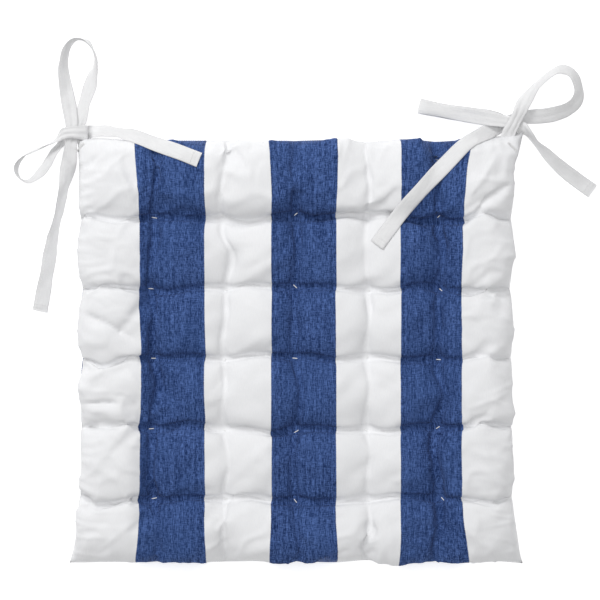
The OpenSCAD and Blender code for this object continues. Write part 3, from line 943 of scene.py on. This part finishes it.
def tape_rings(route):
    """The middle line of a tie, the way it runs and the way of its width."""
    centre = curve_through([p for p, _ in route], TAPE_STEPS)
    width = curve_through([d for _, d in route], TAPE_STEPS)
    along = unit(np.gradient(centre, axis=0))
    across = unit(width - np.sum(width * along, -1, keepdims=True) * along)
    return centre, along, across


def lay_on_pad(stations, tree, from_ring):
    """Lays the loose end of a tie on the pad: follows the cover, bridging its narrow creases."""
    laid = stations.copy()
    floor = np.full(laid.shape[:2], -1.0)       # -1 where there is no pad under the tie
    for r in range(from_ring, len(laid)):
        for k in range(laid.shape[1]):
            height = height_on(tree, laid[r, k, 0], laid[r, k, 1])
            if height is not None:
                floor[r, k] = height + TAPE_REST
    z = np.where(floor > 0, floor, laid[..., 2])
    for _ in range(14):
        smooth = z.copy()
        smooth[1:-1] = (z[:-2] + 2 * z[1:-1] + z[2:]) / 4
        smooth[-1] = (z[-1] + z[-2]) / 2
        smooth[:, 1:-1] = (smooth[:, :-2] + 2 * smooth[:, 1:-1] + smooth[:, 2:]) / 4
        smooth[:from_ring] = laid[:from_ring, :, 2]
        z = np.maximum(smooth, floor)
    laid[..., 2] = z
    return laid


def curled(name, route, seed):
    """The middle surface of a tie, ring by ring: narrower at its knot, softly curled and creased."""
    rng = np.random.default_rng(seed)
    centre, along, across = tape_rings(route)
    travelled = along_path(centre)
    from_knot = np.linalg.norm(centre[:, :2] - KNOTS[name.split("_")[0]], axis=1)
    pinch = np.exp(-(from_knot / 0.016) ** 2)
    u = ACROSS
    zero = np.zeros_like(travelled)
    sway = soft_field(rng, travelled, zero, 0.03, 0.09, 0.0009, 10)
    cup = soft_field(rng, travelled, zero, 0.04, 0.12, 0.0010, 10)
    width = TAPE_W * (1 - 0.20 * pinch + soft_field(rng, travelled, zero, 0.025, 0.08, 0.03, 10))
    gather = 0.00045 * np.exp(-from_knot / 0.03)
    bend = (sway[:, None] * u * 2 + cup[:, None] * (4 * u * u - 0.4)) * (1 - 0.7 * pinch[:, None])
    bend += gather[:, None] * np.cos(5 * np.pi * u + 1.3)
    ripple = soft_field(rng, travelled[:, None] * np.ones_like(u), u * TAPE_W * np.ones((len(zero), 1)),
                        0.010, 0.028, 0.00022, 16)
    stations = (centre[:, None] + across[:, None] * (width[:, None] * u)[..., None]
                + np.cross(along, across)[:, None] * (bend + ripple)[..., None])
    return stations, travelled


def thickened(stations, travelled):
    """The two faces of a tie and the way out of the upper one: it is thickest at its hem."""
    hem = np.clip((travelled - travelled[-1] + HEM) / 0.001, 0, 1)
    half_t = TAPE_T / 2 * (1 + 0.55 * hem[:, None]) * np.sqrt(np.clip(1 - np.abs(2 * ACROSS) ** 6, 0.03, 1))
    half_t = half_t * (1 + 0.25 * (np.abs(ACROSS) < 0.30))
    half_t[0] *= 0.5
    half_t[-1] *= 0.5
    up = unit(np.cross(np.gradient(stations, axis=0), np.gradient(stations, axis=1)))
    upper = stations + up * half_t[..., None]
    lower = stations - up * half_t[..., None]
    lower[..., 2] = np.maximum(lower[..., 2], STITCH_ROOM)
    return upper, lower, up


def build_tie(name, route, tree, seed):
    """A folded strip of cotton along its route, with its stitches, its middle line and its length."""
    stations, travelled = curled(name, route, seed)
    if name in ON_PAD:
        stations = lay_on_pad(stations, tree, int(len(stations) * ON_PAD[name]))
    stations[..., 2] = np.maximum(stations[..., 2], TAPE_T / 2 + STITCH_ROOM)
    upper, lower, up = thickened(stations, travelled)
    rings = np.concatenate([upper, lower[:, ::-1]], axis=1)
    count, sides = rings.shape[:2]
    faces = tube_faces(count, sides)
    faces.append(tuple(range(sides)))
    faces.append(tuple(range(count * sides - 1, (count - 1) * sides - 1, -1)))
    tie = make_object(f"tape_{name}", rings.reshape(-1, 3), [f[::-1] for f in faces])
    spread = np.concatenate([ACROSS, ACROSS[::-1]]) * TAPE_W
    store(tie, "strip", np.stack([np.repeat(travelled, sides), np.tile(spread, count),
                                  np.zeros(count * sides)], -1))
    stitches = tie_stitches(name, upper, lower, up, travelled)
    return tie, stitches, stations[:, TAPE_SIDES // 2], travelled[-1]


def at_length(s, travelled, field):
    """The value of a field of vectors at this distance along a tie."""
    return np.array([np.interp(s, travelled, field[:, k]) for k in range(3)])


def tie_stitches(name, upper, lower, up, travelled):
    """The row of stitches along a tie's open edge, on both faces, and the row across its hem."""
    parts = []
    column = int(np.argmin(np.abs(ACROSS - EDGE_ROW)))
    ring = int(np.argmin(np.abs(travelled - travelled[-1] + HEM_ROW)))
    for face, way in ((upper, 1), (lower, -1)):
        for start in np.arange(0.012, travelled[-1] - 0.004, STITCH + STITCH_GAP):
            ends = [at_length(s, travelled, face[:, column]) for s in (start, start + STITCH)]
            out = at_length(start + STITCH / 2, travelled, up[:, column]) * way
            parts.append(stitch(ends[0] - out * 0.00005, ends[1] - out * 0.00005, out * 0.0002, 0.00016))
        for k in range(1, len(ACROSS) - 2):
            a, b = face[ring, k], face[ring, k + 1]
            parts.append(stitch(a + (b - a) * 0.1, b + (a - b) * 0.1, up[ring, k] * way * 0.0003, 0.0002))
    return make_object(f"stitches_{name}", *join_parts(parts))


# ---------------- studio

def build_camera():
    camera = bpy.data.objects.new("camera", bpy.data.cameras.new("camera"))
    bpy.context.collection.objects.link(camera)
    camera.location = CAMERA_PLACE
    camera.data.lens = CAMERA_LENS
    camera.data.sensor_width = CAMERA_SENSOR
    camera.data.clip_end = 10
    bpy.context.scene.camera = camera


def area_light(name, place, target, size, energy):
    light = bpy.data.objects.new(name, bpy.data.lights.new(name, "AREA"))
    bpy.context.collection.objects.link(light)
    light.data.shape = "RECTANGLE"
    light.data.size, light.data.size_y = size
    light.data.energy = energy
    light.location = place
    light.rotation_euler = (Vector(target) - Vector(place)).to_track_quat("-Z", "Y").to_euler()


def build_studio():
    h = FLOOR_HALF
    floor = make_object("floor", [(-h, -h, 0), (h, -h, 0), (h, h, 0), (-h, h, 0)], [(0, 1, 2, 3)])
    floor.location.z = -FLOOR_DROP
    floor.data.materials.append(pale_floor())
    area_light("key_behind", (-0.75, 1.55, 1.55), (0, 0, 0.02), (1.3, 0.9), 28)
    area_light("fill_above", (0, -0.1, 2.4), (0, 0, 0), (2.2, 2.2), 25)
    world = bpy.data.worlds.new("studio")
    world.use_nodes = True
    background = world.node_tree.nodes["Background"]
    background.inputs["Color"].default_value = rgb(1, 1, 1)
    background.inputs["Strength"].default_value = 0.30
    bpy.context.scene.world = world
    bpy.context.scene.view_settings.view_transform = "Standard"


# ---------------- the object

def dress(piece, material, slot, *nodes):
    """Gives a piece its material, seats it on the body and lets it stand for its CAD nodes."""
    piece.data.materials.append(material)
    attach(piece, "root")
    if nodes:
        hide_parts(*nodes)


def main():
    build_camera()
    cotton, tape, thread, fibre = striped_cotton(), tie_cotton(), white_thread(), wadding()
    top, bottom, surfaces, core = build_cover()
    dress(top, cotton, "striped_cotton", "top_panel")
    dress(bottom, cotton, "striped_cotton", "bottom_panel")
    dress(core, fibre, "wadding", "filling")
    seam = build_seam(surfaces)
    dress(seam, thread, "white_thread", "edge_seam")

    for row in range(1, TUFTS + 1):
        for column in range(1, TUFTS + 1):
            piece = build_tuft(row, column, surfaces)
            dress(piece, thread, "white_thread", f"tuft_thread_{row}_{column}")
    tree = surface_tree(surfaces["top"])
    for side in ("left", "right"):
        piece = build_bartack(f"corner_bar_{side}", f"bartack_{side}", tree)
        dress(piece, thread, "white_thread", f"bartack_{side}")
    for seed, (name, route) in enumerate(TIE_ROUTES.items(), 11):
        tie, stitches, path, length = build_tie(name, route, tree, seed)
        dress(tie, tape, "tie_cotton", f"tie_{name}")
        dress(stitches, thread, "white_thread")
    build_studio()


main()
